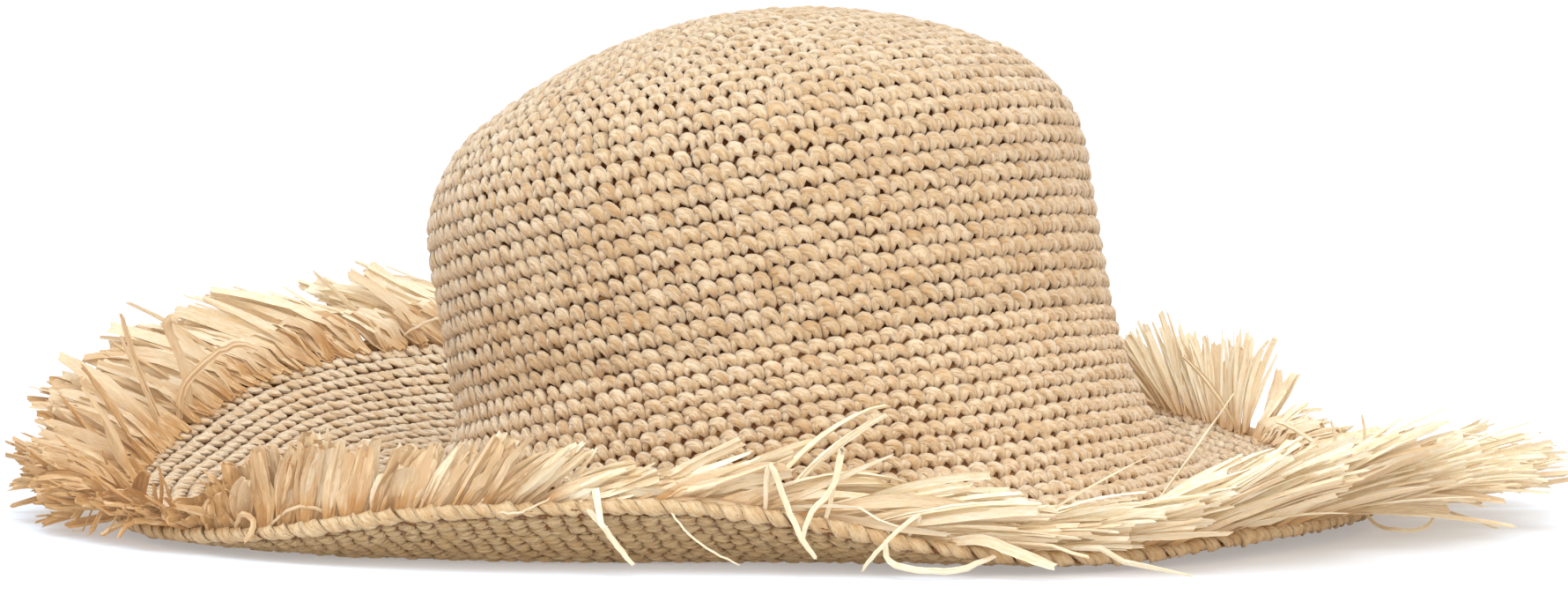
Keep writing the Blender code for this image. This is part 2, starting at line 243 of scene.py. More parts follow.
def make_camera():
    data = bpy.data.cameras.new("camera")
    data.lens = CAMERA_LENS
    data.sensor_width = 36.0
    data.clip_end = 60.0
    camera = new_object("camera", data)
    back = Vector((0.0, -math.cos(CAMERA_ELEVATION), math.sin(CAMERA_ELEVATION)))
    camera.location = CAMERA_TARGET + back * CAMERA_DISTANCE
    camera.rotation_euler = (-back).to_track_quat("-Z", "Y").to_euler()
    bpy.context.scene.camera = camera


# ---- shape of the hat ----
def unit(vectors):
    return vectors / np.linalg.norm(vectors, axis=-1, keepdims=True)


def around(table, azimuth):
    """Smooth values between a table's azimuths, closed round the hat."""
    rows = np.array(table, dtype=float)
    count = len(rows)
    angles = np.radians(rows[:, 0])
    azimuth = np.asarray(azimuth, dtype=float) % math.tau
    here = np.searchsorted(angles, azimuth + 1e-9, side="right") - 1

    def angle_at(k):
        return (angles[k % count] + math.tau * (k // count))[..., None]

    def values_at(k):
        return rows[k % count, 1:]

    def slope_at(k):
        return (values_at(k + 1) - values_at(k - 1)) / (angle_at(k + 1) - angle_at(k - 1))

    span = angle_at(here + 1) - angle_at(here)
    t = (azimuth[..., None] - angle_at(here)) / span
    value = (2 * t ** 3 - 3 * t ** 2 + 1) * values_at(here)
    value = value + (t ** 3 - 2 * t ** 2 + t) * slope_at(here) * span
    value = value + (3 * t ** 2 - 2 * t ** 3) * values_at(here + 1)
    return value + (t ** 3 - t ** 2) * slope_at(here + 1) * span


def crown_frame():
    """The leaning crown's own axes: two across it and one up its middle."""
    up = unit(np.array([-math.tan(LEAN_LEFT), math.tan(LEAN_BACK), 1.0]))
    across = unit(np.array([1.0, 0.0, 0.0]) - up * up[0])
    return across, np.cross(up, across), up


ACROSS_X, ACROSS_Y, CROWN_UP = crown_frame()
CROWN_INSET = CROWN_RADIUS - SHOULDER_RADIUS
TIP_CENTRE = CROWN_HEIGHT - TIP_RADIUS
WALL_HEIGHT = TIP_CENTRE + math.sqrt((TIP_RADIUS - SHOULDER_RADIUS) ** 2 - CROWN_INSET ** 2)
TIP_EDGE_ANGLE = math.atan2(WALL_HEIGHT - TIP_CENTRE, CROWN_INSET)
TIP_LENGTH = TIP_RADIUS * (math.pi / 2 - TIP_EDGE_ANGLE)
SHOULDER_LENGTH = SHOULDER_RADIUS * TIP_EDGE_ANGLE
CROWN_LENGTH = TIP_LENGTH + SHOULDER_LENGTH + WALL_HEIGHT
SPLIT_ROUND = 17               # rounds of the crown that belong to its tip


def outward(azimuth):
    """Direction out of the crown at an azimuth, square to its leaning axis."""
    azimuth = np.asarray(azimuth, dtype=float)[..., None]
    return np.cos(azimuth) * ACROSS_X + np.sin(azimuth) * ACROSS_Y


def crown_outline(distance):
    """Radius, height and outward normal at a distance from the middle of the tip."""
    distance = np.maximum(distance, 0.0)
    on_tip = distance < TIP_LENGTH
    on_wall = distance > TIP_LENGTH + SHOULDER_LENGTH
    tip_angle = math.pi / 2 - distance / TIP_RADIUS
    shoulder_angle = TIP_EDGE_ANGLE - (distance - TIP_LENGTH) / SHOULDER_RADIUS
    angle = np.where(on_tip, tip_angle, np.where(on_wall, 0.0, shoulder_angle))
    size = np.where(on_tip, TIP_RADIUS, SHOULDER_RADIUS)
    radius = np.where(on_tip, 0.0, CROWN_INSET) + size * np.cos(angle)
    height = np.where(on_tip, TIP_CENTRE, WALL_HEIGHT) + size * np.sin(angle)
    below = distance - TIP_LENGTH - SHOULDER_LENGTH
    height = np.where(on_wall, WALL_HEIGHT - below, height)
    return radius, height, np.cos(angle), np.sin(angle)


def on_crown(azimuth, rounds, lift):
    """Points on the crown: rounds down from the middle of the tip, lift out of the surface."""
    radius, height, out, up = crown_outline(rounds * CROWN_LENGTH / CROWN_ROUNDS)
    radius = radius + lift * out
    height = height + lift * up
    return CROWN_BASE + radius[..., None] * outward(azimuth) + height[..., None] * CROWN_UP


def above_table(height):
    """Height of the brim's middle surface, eased down onto the table."""
    lowest = CROCHET_THICKNESS / 2 - 0.0004
    free = height - lowest
    return lowest + 0.5 * (free + np.sqrt(free ** 2 + BRIM_SOFTNESS ** 2)) - BRIM_SOFTNESS / 4


def brim_curves(azimuth, fractions):
    """Points of the brim's middle surface at each azimuth, evenly spaced to the rim."""
    lie = around(BRIM_LIE, azimuth)
    drop, reach, lift, run = (lie[:, k, None] / 1000 for k in (0, 1, 2, 4))
    turn = np.radians(lie[:, 3, None])
    radial = np.stack([np.cos(azimuth), np.sin(azimuth), np.zeros(len(azimuth))], axis=1)
    vertical = np.array([0.0, 0.0, 1.0])
    down_wall = math.sin(math.radians(3)) * outward(azimuth) - CROWN_UP
    start = CROWN_BASE + CROWN_RADIUS * outward(azimuth)
    end = CROWN_BASE * np.array([1.0, 1.0, 0.0]) + reach * radial + lift * vertical
    rim_way = np.cos(turn) * radial + np.sin(turn) * vertical
    second, third = start + drop * down_wall, end - run * rim_way
    t = np.linspace(0.0, 1.0, 90)[None, :, None]
    points = (1 - t) ** 3 * start[:, None] + 3 * (1 - t) ** 2 * t * second[:, None]
    points = points + 3 * (1 - t) * t ** 2 * third[:, None] + t ** 3 * end[:, None]
    points[..., 2] = above_table(points[..., 2]) + BRIM_SOFTNESS / 4 * (1 - t[..., 0]) ** 4
    steps = np.linalg.norm(np.diff(points, axis=1), axis=2)
    along = np.concatenate([np.zeros((len(azimuth), 1)), np.cumsum(steps, axis=1)], axis=1)
    rows = []
    for line, length in zip(points, along):
        wanted = np.array(fractions) * length[-1]
        rows.append(np.stack([np.interp(wanted, length, line[:, k]) for k in range(3)], axis=1))
    return np.array(rows)


def surface_normals(grid):
    """Upper-side normals of a grid of points, closed along its first direction."""
    round_hat = np.roll(grid, -1, axis=0) - np.roll(grid, 1, axis=0)
    along = np.gradient(grid, axis=1)
    return unit(np.cross(along, round_hat))


RIM_SHARE = 2 * EDGE_HALF_WIDTH / 0.108       # of the brim's width, taken by the edge round
GRID_ROWS = 96
RIM_AZIMUTHS = np.arange(RIM_STEPS) * math.tau / RIM_STEPS
BRIM_GRID = brim_curves(RIM_AZIMUTHS, np.linspace(0.0, 1.0, GRID_ROWS + 1))
BRIM_NORMALS = surface_normals(BRIM_GRID)


def on_brim(azimuth, rounds, lift):
    """Points on the brim: rounds out from the crown, lift above its middle surface."""
    turn = (azimuth % math.tau) / math.tau * RIM_STEPS
    column = np.floor(turn).astype(int)
    across = (turn - column)[..., None]
    row = rounds / BRIM_ROUNDS * (1.0 - RIM_SHARE) * GRID_ROWS
    line = np.clip(np.floor(row).astype(int), 0, GRID_ROWS - 1)
    down = (row - line)[..., None]
    column, following = column % RIM_STEPS, (column + 1) % RIM_STEPS

    def between(values):
        first = values[column, line] * (1 - across) + values[following, line] * across
        second = values[column, line + 1] * (1 - across) + values[following, line + 1] * across
        return first * (1 - down) + second * down

    return between(BRIM_GRID) + lift[..., None] * unit(between(BRIM_NORMALS))


# ---- mesh helpers ----
NO_TRIANGLES = np.zeros((0, 3), dtype=int)


def add_piece(name, points, quads, triangles, material, slot, values=None, sharp=None):
    """A smooth mesh object from arrays, with named values on its points and sharp folds."""
    mesh = bpy.data.meshes.new(name)
    points = np.array(points, dtype=np.float32).reshape(-1, 3)
    points[:, 2] = np.maximum(points[:, 2], FLOOR_CLEARANCE)
    loops = np.concatenate([quads.ravel(), triangles.ravel()]).astype(np.int32)
    ends = len(quads) * 4 + np.arange(len(triangles)) * 3
    starts = np.concatenate([np.arange(len(quads)) * 4, ends]).astype(np.int32)
    mesh.vertices.add(len(points))
    mesh.vertices.foreach_set("co", points.ravel())
    mesh.loops.add(len(loops))
    mesh.loops.foreach_set("vertex_index", loops)
    mesh.polygons.add(len(starts))
    mesh.polygons.foreach_set("loop_start", starts)
    mesh.update(calc_edges=True)
    mesh.shade_smooth()
    if sharp:
        mesh.set_sharp_from_angle(angle=math.radians(sharp))
    for key, value in (values or {}).items():
        form, field = ("FLOAT_VECTOR", "vector") if value.ndim > 1 else ("FLOAT", "value")
        attribute = mesh.attributes.new(key, form, "POINT")
        attribute.data.foreach_set(field, value.ravel().astype(np.float32))
    mesh.materials.append(material)
    piece = new_object(name, mesh)
    return piece


def tube_faces(count, rings, sides):
    """Faces of closed tubes that each hold rings of points and then two end points."""
    size = rings * sides + 2
    first = (np.arange(count) * size)[:, None]
    ring, side = np.meshgrid(np.arange(rings - 1), np.arange(sides), indexing="ij")
    here = (ring * sides + side).ravel()
    beside = (ring * sides + (side + 1) % sides).ravel()
    quads = np.stack([first + here, first + beside, first + beside + sides, first + here + sides], -1)
    side = np.arange(sides)
    beside = (side + 1) % sides
    last = (rings - 1) * sides
    low = np.stack([first + beside, first + side, first + size - 2 + 0 * side], -1)
    high = np.stack([first + last + side, first + last + beside, first + size - 1 + 0 * side], -1)
    return quads.reshape(-1, 4), np.concatenate([low.reshape(-1, 3), high.reshape(-1, 3)])


def swept(path, across, rise, wide, high):
    """Rings of points round paths, from how far each point lies across and out."""
    return path[:, :, None] + wide[..., None] * across[:, :, None] + high[..., None] * rise[:, :, None]


def strand_axes(path, facing):
    """Directions along, across and out of paths whose flat sides face a way."""
    tangent = unit(np.gradient(path, axis=1))
    across = unit(np.cross(facing, tangent))
    return tangent, across, np.cross(tangent, across)


def with_ends(points, path, tangent, reach):
    """The rings of each tube, and then a point beyond each of its ends."""
    first = path[:, :1] - tangent[:, :1] * reach[:, :1, None]
    last = path[:, -1:] + tangent[:, -1:] * reach[:, -1:, None]
    return np.concatenate([points.reshape(len(path), -1, 3), first, last], axis=1)


def girth_of(sides):
    return np.linspace(0.0, STRAND_GIRTH, sides)


def along_strands(path, girth, rng, scale=STITCH_UNIT):
    """Length along, place across and a seed at every point of each strand, for its fibres."""
    count = len(path)
    seed = rng.uniform(0.0, SEED_RANGE, (count, 1, 1))
    length = np.linalg.norm(np.diff(path, axis=1), axis=2).cumsum(axis=1) / scale
    length = np.concatenate([np.zeros((count, 1)), length], axis=1)[..., None]
    strand = np.stack(np.broadcast_arrays(length, girth, seed), -1).reshape(count, -1, 3)
    return np.concatenate([strand, strand[:, [0, -1]]], axis=1)


def tones(points, spread, rng):
    """One tone for each strand, the same at all of its points."""
    return np.repeat(rng.normal(0.0, spread, (len(points), 1)), points.shape[1], axis=1)


def fibre_values(strand, tone, depth):
    """What the fibrous materials read at every point."""
    return {"strand": strand.reshape(-1, 3), "tone": tone.ravel(), "depth": depth.ravel()}


def blend_weights(controls, samples):
    """Weights that turn a few control values into smooth values along a strand."""
    weights = np.zeros((samples, controls))
    for row, t in enumerate(np.linspace(0.0, controls - 1, samples)):
        k = min(int(t), controls - 2)
        f = t - k
        spline = (
            -0.5 * f + f * f - 0.5 * f ** 3,
            1 - 2.5 * f * f + 1.5 * f ** 3,
            0.5 * f + 2 * f * f - 1.5 * f ** 3,
            -0.5 * f * f + 0.5 * f ** 3,
        )
        for offset, value in zip((-1, 0, 1, 2), spline):
            weights[row, min(max(k + offset, 0), controls - 1)] += value
    return weights


# ---- stitches ----
def joined(groups):
    """Groups of arrays joined end to end, first with first and so on."""
    return tuple(np.concatenate(part) for part in zip(*groups))


def crown_stitches():
    """Azimuth, angular width and round of every stitch, as three arrays."""
    rng = np.random.default_rng(11)
    rounds = []
    drift = 0.0
    for number in range(CROWN_ROUNDS):
        radius = crown_outline(np.array((number + 0.5) * CROWN_LENGTH / CROWN_ROUNDS))[0]
        count = max(6, round(math.tau * float(radius) / STITCH_WIDTH))
        drift += rng.uniform(0.0, DRIFT)
        azimuth = (np.arange(count) + drift) / count * math.tau
        rounds.append((azimuth, np.full(count, math.tau / count), np.full(count, number + 0.5)))
    return joined(rounds)


def brim_stitches():
    """The same for the brim, with stitches evenly spaced along each wavy round."""
    rng = np.random.default_rng(12)
    rounds = []
    drift = 0.0
    closed = np.concatenate([RIM_AZIMUTHS, [math.tau]])
    for number in range(BRIM_ROUNDS):
        middle = np.full(len(closed), number + 0.5)
        line = on_brim(closed, middle, np.zeros(len(closed)))
        steps = np.linalg.norm(np.diff(line, axis=0), axis=1)
        along = np.concatenate([[0.0], np.cumsum(steps)])
        count = round(along[-1] / STITCH_WIDTH)
        drift += rng.uniform(0.0, DRIFT)
        spots = ((np.arange(count) + drift) % count) / count * along[-1]
        azimuth = np.interp(spots, along, closed)
        rate = np.interp(azimuth, RIM_AZIMUTHS, steps) / (math.tau / RIM_STEPS)
        rounds.append((azimuth, along[-1] / count / rate, np.full(count, number + 0.5)))
    return joined(rounds)


def boxy(values):
    """Cosines or sines pushed outward, which squares a round section a little."""
    return np.sign(values) * np.abs(values) ** 0.8


def lay_strands(place, stitches, controls, rings, sides, rng, looseness):
    """One strand of every stitch, laid on a surface: its points and the values they keep."""
    azimuth, width, number = stitches
    count = len(azimuth)
    shape = np.repeat(np.array(controls)[None], count, axis=0)
    shape[..., :2] += rng.normal(0.0, PLACE_SPREAD * looseness, shape[..., :2].shape)
    shape[..., 2] += rng.normal(0.0, HEIGHT_SPREAD * looseness, shape[..., 2].shape)
    shape[..., 3:] *= rng.normal(1.0, SIZE_SPREAD * looseness, shape[..., 3:].shape)
    shape[..., 3:] *= rng.normal(1.0, 0.05, (count, 1, 1))
    tilt = rng.normal(0.0, TILT_SPREAD * looseness, (count, 1))
    shape[..., 0] += tilt * shape[..., 1]
    shape[..., 2] += rng.normal(0.0, 0.03, (count, 1))
    line = np.einsum("sc,ncd->nsd", blend_weights(len(controls), rings), shape)
    path, half_width, half_height = line[..., :3], line[..., 3], line[..., 4]
    tangent, across, rise = strand_axes(path, np.array([0.0, 0.0, 1.0]))
    turn = np.arange(sides) * math.tau / sides + rng.uniform(0, 0.5, (count, 1, 1))
    ridge = 1.0 + rng.uniform(-0.15, 0.15, (count, 1, sides))
    wide = boxy(np.cos(turn)) * ridge * half_width[..., None]
    high = boxy(np.sin(turn)) * ridge * half_height[..., None]
    points = with_ends(swept(path, across, rise, wide, high), path, tangent, half_height * 0.7)

    spots = azimuth[:, None] + points[..., 0] * width[:, None]
    placed = place(spots, number[:, None] - points[..., 1], points[..., 2] * STITCH_UNIT)

    strand = along_strands(path, girth_of(sides), rng, 1.0)
    tone = tones(points, 1.0, rng)
    # Each point's height out of the surface becomes its depth value, which the material paints as shade
    # in the hollows; on the wrong side it is measured down from that side's own outer face.
    depth = points[..., 2]
    if np.mean([control[2] for control in controls]) < WRONG_SIDE:
        depth = WRONG_TOP - depth
    return placed.reshape(-1, 3), fibre_values(strand, tone, depth)


def crochet_piece(name, place, stitches, parts, material, slot, seed, looseness=1.0):
    """One object of stitches; parts holds each strand's controls, rings and sides."""
    rng = np.random.default_rng(seed)
    arrays, all_values = [], []
    offset = 0
    for controls, rings, sides in parts:
        points, values = lay_strands(place, stitches, controls, rings, sides, rng, looseness)
        quads, triangles = tube_faces(len(stitches[0]), rings, sides)
        arrays.append((points, quads + offset, triangles + offset))
        all_values.append(values)
        offset += len(points)
    values = {key: np.concatenate([v[key] for v in all_values]) for key in all_values[0]}
    return add_piece(name, *joined(arrays), material, slot, values)


def chosen(stitches, mask):
    return tuple(values[mask] for values in stitches)


def sectors(stitches, count):
    """Stitches in equal sectors, so that no piece has more than 200,000 faces."""
    azimuth = stitches[0] % math.tau
    for number in range(count):
        low, high = math.tau * number / count, math.tau * (number + 1) / count
        yield number, chosen(stitches, (azimuth >= low) & (azimuth < high))


def backing(name, place, rounds, steps, material, slot):
    """Thin closed layer between the stitches' two sides, dark as painted shade in the gaps between them.
    """
    azimuth = np.arange(steps) * math.tau / steps
    spot, line = np.meshgrid(azimuth, rounds, indexing="ij")
    upper, lower = (
        place(spot, line, np.full(spot.shape, depth * STITCH_UNIT))
        for depth in (BACKING_TOP, BACKING_BOTTOM)
    )
    section = np.concatenate([upper, lower[:, ::-1]], axis=1)
    size = section.shape[1]
    first = (np.arange(steps) * size)[:, None]
    following = (((np.arange(steps) + 1) % steps) * size)[:, None]
    side = np.arange(size)[None]
    beside = (side + 1) % size
    quads = np.stack([first + side, first + beside, following + beside, following + side], -1)
    count = steps * size
    # Every point gets the deepest value, so the layer takes its material's full painted shade.
    values = fibre_values(np.zeros((count, 3)), np.zeros(count), np.full(count, -0.3))
    return add_piece(name, section, quads.reshape(-1, 4), NO_TRIANGLES, material, slot, values)


# ---- materials ----
def fill(node, values):
    for name, value in values.items():
        node.inputs[name].default_value = value


class Nodes:
    """Short ways to add nodes to a material."""

    def __init__(self, name):
        self.material = bpy.data.materials.new(name)
        self.material.use_nodes = True
        self.tree = self.material.node_tree
        self.shader = self.tree.nodes["Principled BSDF"]

    def add(self, kind, **settings):
        node = self.tree.nodes.new(kind)
        for key, value in settings.items():
            setattr(node, key, value)
        return node

    def link(self, source, target):
        self.tree.links.new(source, target)

    def value(self, name):
        return self.add("ShaderNodeAttribute", attribute_name=name)

    def math(self, operation, first, second, clamp=False):
        node = self.add("ShaderNodeMath", operation=operation, use_clamp=clamp)
        self.link(first, node.inputs[0])
        if isinstance(second, float):
            node.inputs[1].default_value = second
        else:
            self.link(second, node.inputs[1])
        return node.outputs[0]

    def remap(self, source, low, high, to_low, to_high):
        node = self.add("ShaderNodeMapRange", clamp=True)
        self.link(source, node.inputs["Value"])
        fill(node, {"From Min": low, "From Max": high, "To Min": to_low, "To Max": to_high})
        return node.outputs["Result"]

    def scaled(self, source, scale):
        node = self.add("ShaderNodeVectorMath", operation="MULTIPLY")
        self.link(source, node.inputs[0])
        node.inputs[1].default_value = scale
        return node.outputs["Vector"]

    def noise(self, vector, scale, detail, roughness=0.55):
        node = self.add("ShaderNodeTexNoise")
        self.link(vector, node.inputs["Vector"])
        fill(node, {"Scale": scale, "Detail": detail, "Roughness": roughness})
        return node.outputs["Fac"]

    def mix(self, factor, first, second):
        node = self.add("ShaderNodeMix", data_type="RGBA")
        self.link(factor, node.inputs["Factor"])
        for key, value in (("A", first), ("B", second)):
            socket = next(s for s in node.inputs if s.name == key and s.type == "RGBA")
            if isinstance(value, tuple):
                socket.default_value = (*value, 1.0)
            else:
                self.link(value, socket)
        return next(s for s in node.outputs if s.type == "RGBA")

    def bump(self, height, distance):
        node = self.add("ShaderNodeBump")
        fill(node, {"Distance": distance})
        self.link(height, node.inputs["Height"])
        self.link(node.outputs["Normal"], self.shader.inputs["Normal"])


def fibrous(
    name, light, middle, ruddy, painted_shade, roughness=0.55, specular=0.22, fibres=4.5, relief=0.0012,
    sheen=0.0, painted_glow=0.0, painted_glow_colour=(1.0, 0.50, 0.16),
):
    """Raffia, ribbon or thread: fine fibres along each strand, uneven tone, painted shade where deep and
    a faint painted glow.
    """
    nodes = Nodes(name)
    strand = nodes.value("strand").outputs["Vector"]
    place = nodes.add("ShaderNodeTexCoord").outputs["Object"]
    fine = nodes.noise(nodes.scaled(strand, (0.9, fibres, 1.0)), 2.0, 3.0, 0.6)
    broad = nodes.noise(nodes.scaled(strand, (0.5, fibres * 0.4, 1.0)), 1.6, 2.0)
    patches = nodes.noise(place, 26.0, 3.0)
    tone = nodes.remap(nodes.value("tone").outputs["Fac"], -1.8, 1.8, 0.0, 1.0)
    amount = nodes.math("ADD", nodes.math("MULTIPLY", broad, 0.75), nodes.math("MULTIPLY", tone, 0.42))
    amount = nodes.math("SUBTRACT", amount, 0.16, clamp=True)
    colour = nodes.mix(amount, light, middle)
    warm = nodes.remap(patches, 0.46, 0.74, 0.0, 0.75)
    colour = nodes.mix(nodes.math("MULTIPLY", warm, tone), colour, ruddy)
    streak = nodes.remap(fine, 0.45, 0.62, 0.0, 0.72)
    colour = nodes.mix(streak, colour, ruddy)
    # Painted shade: the lower a point's depth value, the more its colour is mixed towards the dark shade
    # colour.
    sunk_shade = nodes.remap(nodes.value("depth").outputs["Fac"], 0.0, -0.20, 0.0, 1.0)
    colour = nodes.mix(sunk_shade, colour, painted_shade)
    crease = nodes.remap(broad, 0.53, 0.66, 0.0, 0.5)
    colour = nodes.mix(crease, colour, ruddy)
    nodes.link(colour, nodes.shader.inputs["Base Color"])
    worn = nodes.remap(fine, 0.2, 0.8, roughness - 0.10, roughness + 0.14)
    nodes.link(worn, nodes.shader.inputs["Roughness"])
    # The emission is a painted glow: warm light standing in for light that passes through the thin raffia
    # and bounces between strands.
    fill(nodes.shader, {
        "Specular IOR Level": specular,
        "Sheen Weight": sheen,
        "Sheen Roughness": 0.4,
        "Emission Color": (*painted_glow_colour, 1.0),
        "Emission Strength": painted_glow,
    })
    nodes.bump(nodes.math("ADD", fine, broad), relief)
    return nodes.material


# ---- crochet pieces ----
FACE_PARTS = [(STRAND_OVER, 11, 10), (STRAND_UNDER, 5, 9)]
WRONG_PARTS = [(loop, 5, 7) for loop in WRONG_LOOPS]
INSIDE_PARTS = [(loop, 4, 5) for loop in WRONG_LOOPS]


def build_crown(stitch_material, backing_material, inside_material):
    stitches = crown_stitches()
    halves = (
        ("crown_tip", chosen(stitches, stitches[2] < SPLIT_ROUND), 2, 21),
        ("crown_side", chosen(stitches, stitches[2] >= SPLIT_ROUND), 3, 31),
    )
    pieces = []
    for node, some, count, seed in halves:
        slot = f"raffia_{node}"
        for number, share in sectors(some, count):
            name = f"{node}_stitches_{number + 1}"
            look = stitch_material, slot, seed + number
            piece = crochet_piece(name, on_crown, share, FACE_PARTS, *look)
            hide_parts(node)
            pieces.append(piece)
            name = f"{node}_inside_{number + 1}"
            look = inside_material, slot, seed + 10 + number
            pieces.append(crochet_piece(name, on_crown, share, INSIDE_PARTS, *look))
    for node, first, last, rows in (
        ("crown_tip", 0.02, SPLIT_ROUND - 0.02, 20),
        ("crown_side", SPLIT_ROUND + 0.02, CROWN_ROUNDS - 0.02, 16),
    ):
        rounds = np.linspace(first, last, rows)
        pieces.append(backing(f"{node}_core", on_crown, rounds, 120, backing_material, f"raffia_{node}"))
    return pieces


def build_brim(stitch_material, backing_material, under_material):
    stitches = brim_stitches()
    slot = "raffia_brim"
    pieces = []
    for number, some in sectors(stitches, 7):
        name = f"brim_stitches_{number + 1}"
        piece = crochet_piece(name, on_brim, some, FACE_PARTS, stitch_material, slot, 51 + number)
        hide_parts("brim")
        pieces.append(piece)
    for number, some in sectors(stitches, 5):
        name = f"brim_underside_{number + 1}"
        look = under_material, slot, 61 + number, UNDERSIDE_LOOSENESS
        pieces.append(crochet_piece(name, on_brim, some, WRONG_PARTS, *look))
    rounds = np.linspace(0.02, BRIM_ROUNDS + 0.7, 48)
    pieces.append(backing("brim_core", on_brim, rounds, 240, backing_material, slot))
    return pieces


# ---- edge round ----
def rim_frames():
    """Middle of the edge round, with its outward and upper directions."""
    grid = brim_curves(RIM_AZIMUTHS, [1.0 - RIM_SHARE, 1.0 - RIM_SHARE / 2, 1.0])
    upper = surface_normals(grid)[:, 1]
    out = unit(grid[:, 2] - grid[:, 0])
    return grid[:, 1], out, upper


RIM_MIDDLE, RIM_OUT, RIM_UPPER = rim_frames()
RIM_LENGTHS = np.linalg.norm(np.roll(RIM_MIDDLE, -1, axis=0) - RIM_MIDDLE, axis=1)
RIM_LENGTH = RIM_LENGTHS.sum()


def on_rim(distance):
    """Middle, outward and upper directions and azimuth, at distances along the rim."""
    along = np.concatenate([[0.0], np.cumsum(RIM_LENGTHS)])
    turn = np.interp(distance % RIM_LENGTH, along, np.arange(RIM_STEPS + 1))
    first = np.floor(turn).astype(int)
    share = (turn - first)[..., None]
    first, second = first % RIM_STEPS, (first + 1) % RIM_STEPS
    middle, out, upper = (
        values[first] * (1 - share) + values[second] * share
        for values in (RIM_MIDDLE, RIM_OUT, RIM_UPPER)
    )
    return middle, unit(out), unit(upper), turn / RIM_STEPS * math.tau


def tubes_along(path, facing, half_width, half_height, sides, rng, ridges=0.08):
    """Closed tubes round paths in the hat's frame, with flattened sections."""
    turn = np.arange(sides) * math.tau / sides
    ridge = 1.0 + rng.uniform(-ridges, ridges, (len(path), 1, sides))
    wide = np.cos(turn) * ridge * half_width[..., None]
    high = np.sin(turn) * ridge * half_height[..., None]
    tangent, across, rise = strand_axes(path, facing)
    points = with_ends(swept(path, across, rise, wide, high), path, tangent, half_height)
    strand = along_strands(path, girth_of(sides), rng)
    return points, strand, tones(points, 1.0, rng)


EDGE_SPACING = 0.0054
EDGE_SWEEP = 0.0105            # length of rim that each strand passes on its way over the edge
EDGE_RADIUS = 0.00092
EDGE_STRAND_HALF_WIDTH = 0.00225
EDGE_STRAND_HALF_HEIGHT = 0.00086


def build_edge_round(material):
    """The last round: strands wound at a slant over the edge, which grip the fringe."""
    rng = np.random.default_rng(71)
    count = round(RIM_LENGTH / EDGE_SPACING)
    rings, sides = 13, 10
    t = np.linspace(0.0, 1.0, rings)[None]
    start = (np.arange(count)[:, None] + rng.normal(0, 0.10, (count, 1))) * RIM_LENGTH / count
    middle, out, upper, _ = on_rim(start + (t - 0.5) * EDGE_SWEEP)
    turn = np.radians(165.0 - 320.0 * t) + rng.normal(0, 0.14, (count, 1))
    spoke = np.cos(turn)[..., None] * out + np.sin(turn)[..., None] * upper
    radius = EDGE_RADIUS + rng.normal(0, 0.00015, (count, 1)) + 0.0002 * np.sin(t * math.pi)
    path = middle - 0.0006 * out + spoke * radius[..., None]
    taper = np.sin(math.pi * np.clip(t * 0.94 + 0.03, 0, 1)) ** 0.45
    half_width = EDGE_STRAND_HALF_WIDTH * taper * rng.normal(1.0, 0.13, (count, 1))
    half_height = EDGE_STRAND_HALF_HEIGHT * taper * rng.normal(1.0, 0.13, (count, 1))
    points, strand, tone = tubes_along(path, spoke, half_width, half_height, sides, rng, 0.14)
    quads, triangles = tube_faces(count, rings, sides)
    # Painted shade towards each strand's two ends, where it turns in towards the brim.
    end_shade = -0.10 * np.clip(np.abs(t - 0.5) * 3.2 - 0.9, 0.0, 1.0)
    depth = np.concatenate([np.repeat(end_shade, sides, axis=1), end_shade[:, :1], end_shade[:, -1:]], axis=1)
    values = fibre_values(strand, tone, np.repeat(depth, count, axis=0))
    slot = "raffia_edge_round"
    piece = add_piece("edge_round_strands", points, quads, triangles, material, slot, values)
    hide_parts("edge_round")
    return [piece]


# ---- sweatband ----
RIB_PITCH = 0.0010
THREAD_PITCH = 0.0042


def inside_crown(azimuth, radius, height):
    """Points at a radius from the crown's leaning axis and a height up it."""
    return CROWN_BASE + radius[..., None] * outward(azimuth) + height[..., None] * CROWN_UP


def ribbed_ribbon(name, start, end, outer, low, high, material, slot):
    """Closed grosgrain ribbon curved round the inside of the crown, ribbed across its width."""
    columns = 2 * round((end - start) * outer / RIB_PITCH)
    azimuth = np.linspace(start, end, columns + 1)
    rows = np.array([0.0, 0.03, 0.5, 0.97, 1.0])
    depth = np.array([0.5, 1.0, 1.0, 1.0, 0.5]) * SWEATBAND_THICKNESS / 2
    groove = np.where(np.arange(columns + 1) % 2 == 0, 0.00010, 0.0)[:, None]
    middle = outer - SWEATBAND_THICKNESS / 2
    outside = middle + depth - groove
    inside = (middle - depth + groove)[:, ::-1]
    radius = np.concatenate([outside, inside], axis=1)
    height = np.concatenate([rows, rows[::-1]])[None] * (high - low) + low + 0 * radius
    points = inside_crown(azimuth[:, None] + 0 * radius, radius, height)
    size = radius.shape[1]
    first = (np.arange(columns) * size)[:, None]
    side = np.arange(size)[None]
    beside = (side + 1) % size
    quads = np.stack([first + side, first + side + size, first + beside + size, first + beside], -1)
    cap = np.array([(k, k + 1, size - 2 - k, size - 1 - k) for k in range(len(rows) - 1)])
    quads = np.concatenate([quads.reshape(-1, 4), cap, cap[:, ::-1] + columns * size])
    return add_piece(name, points, quads, NO_TRIANGLES, material, slot)


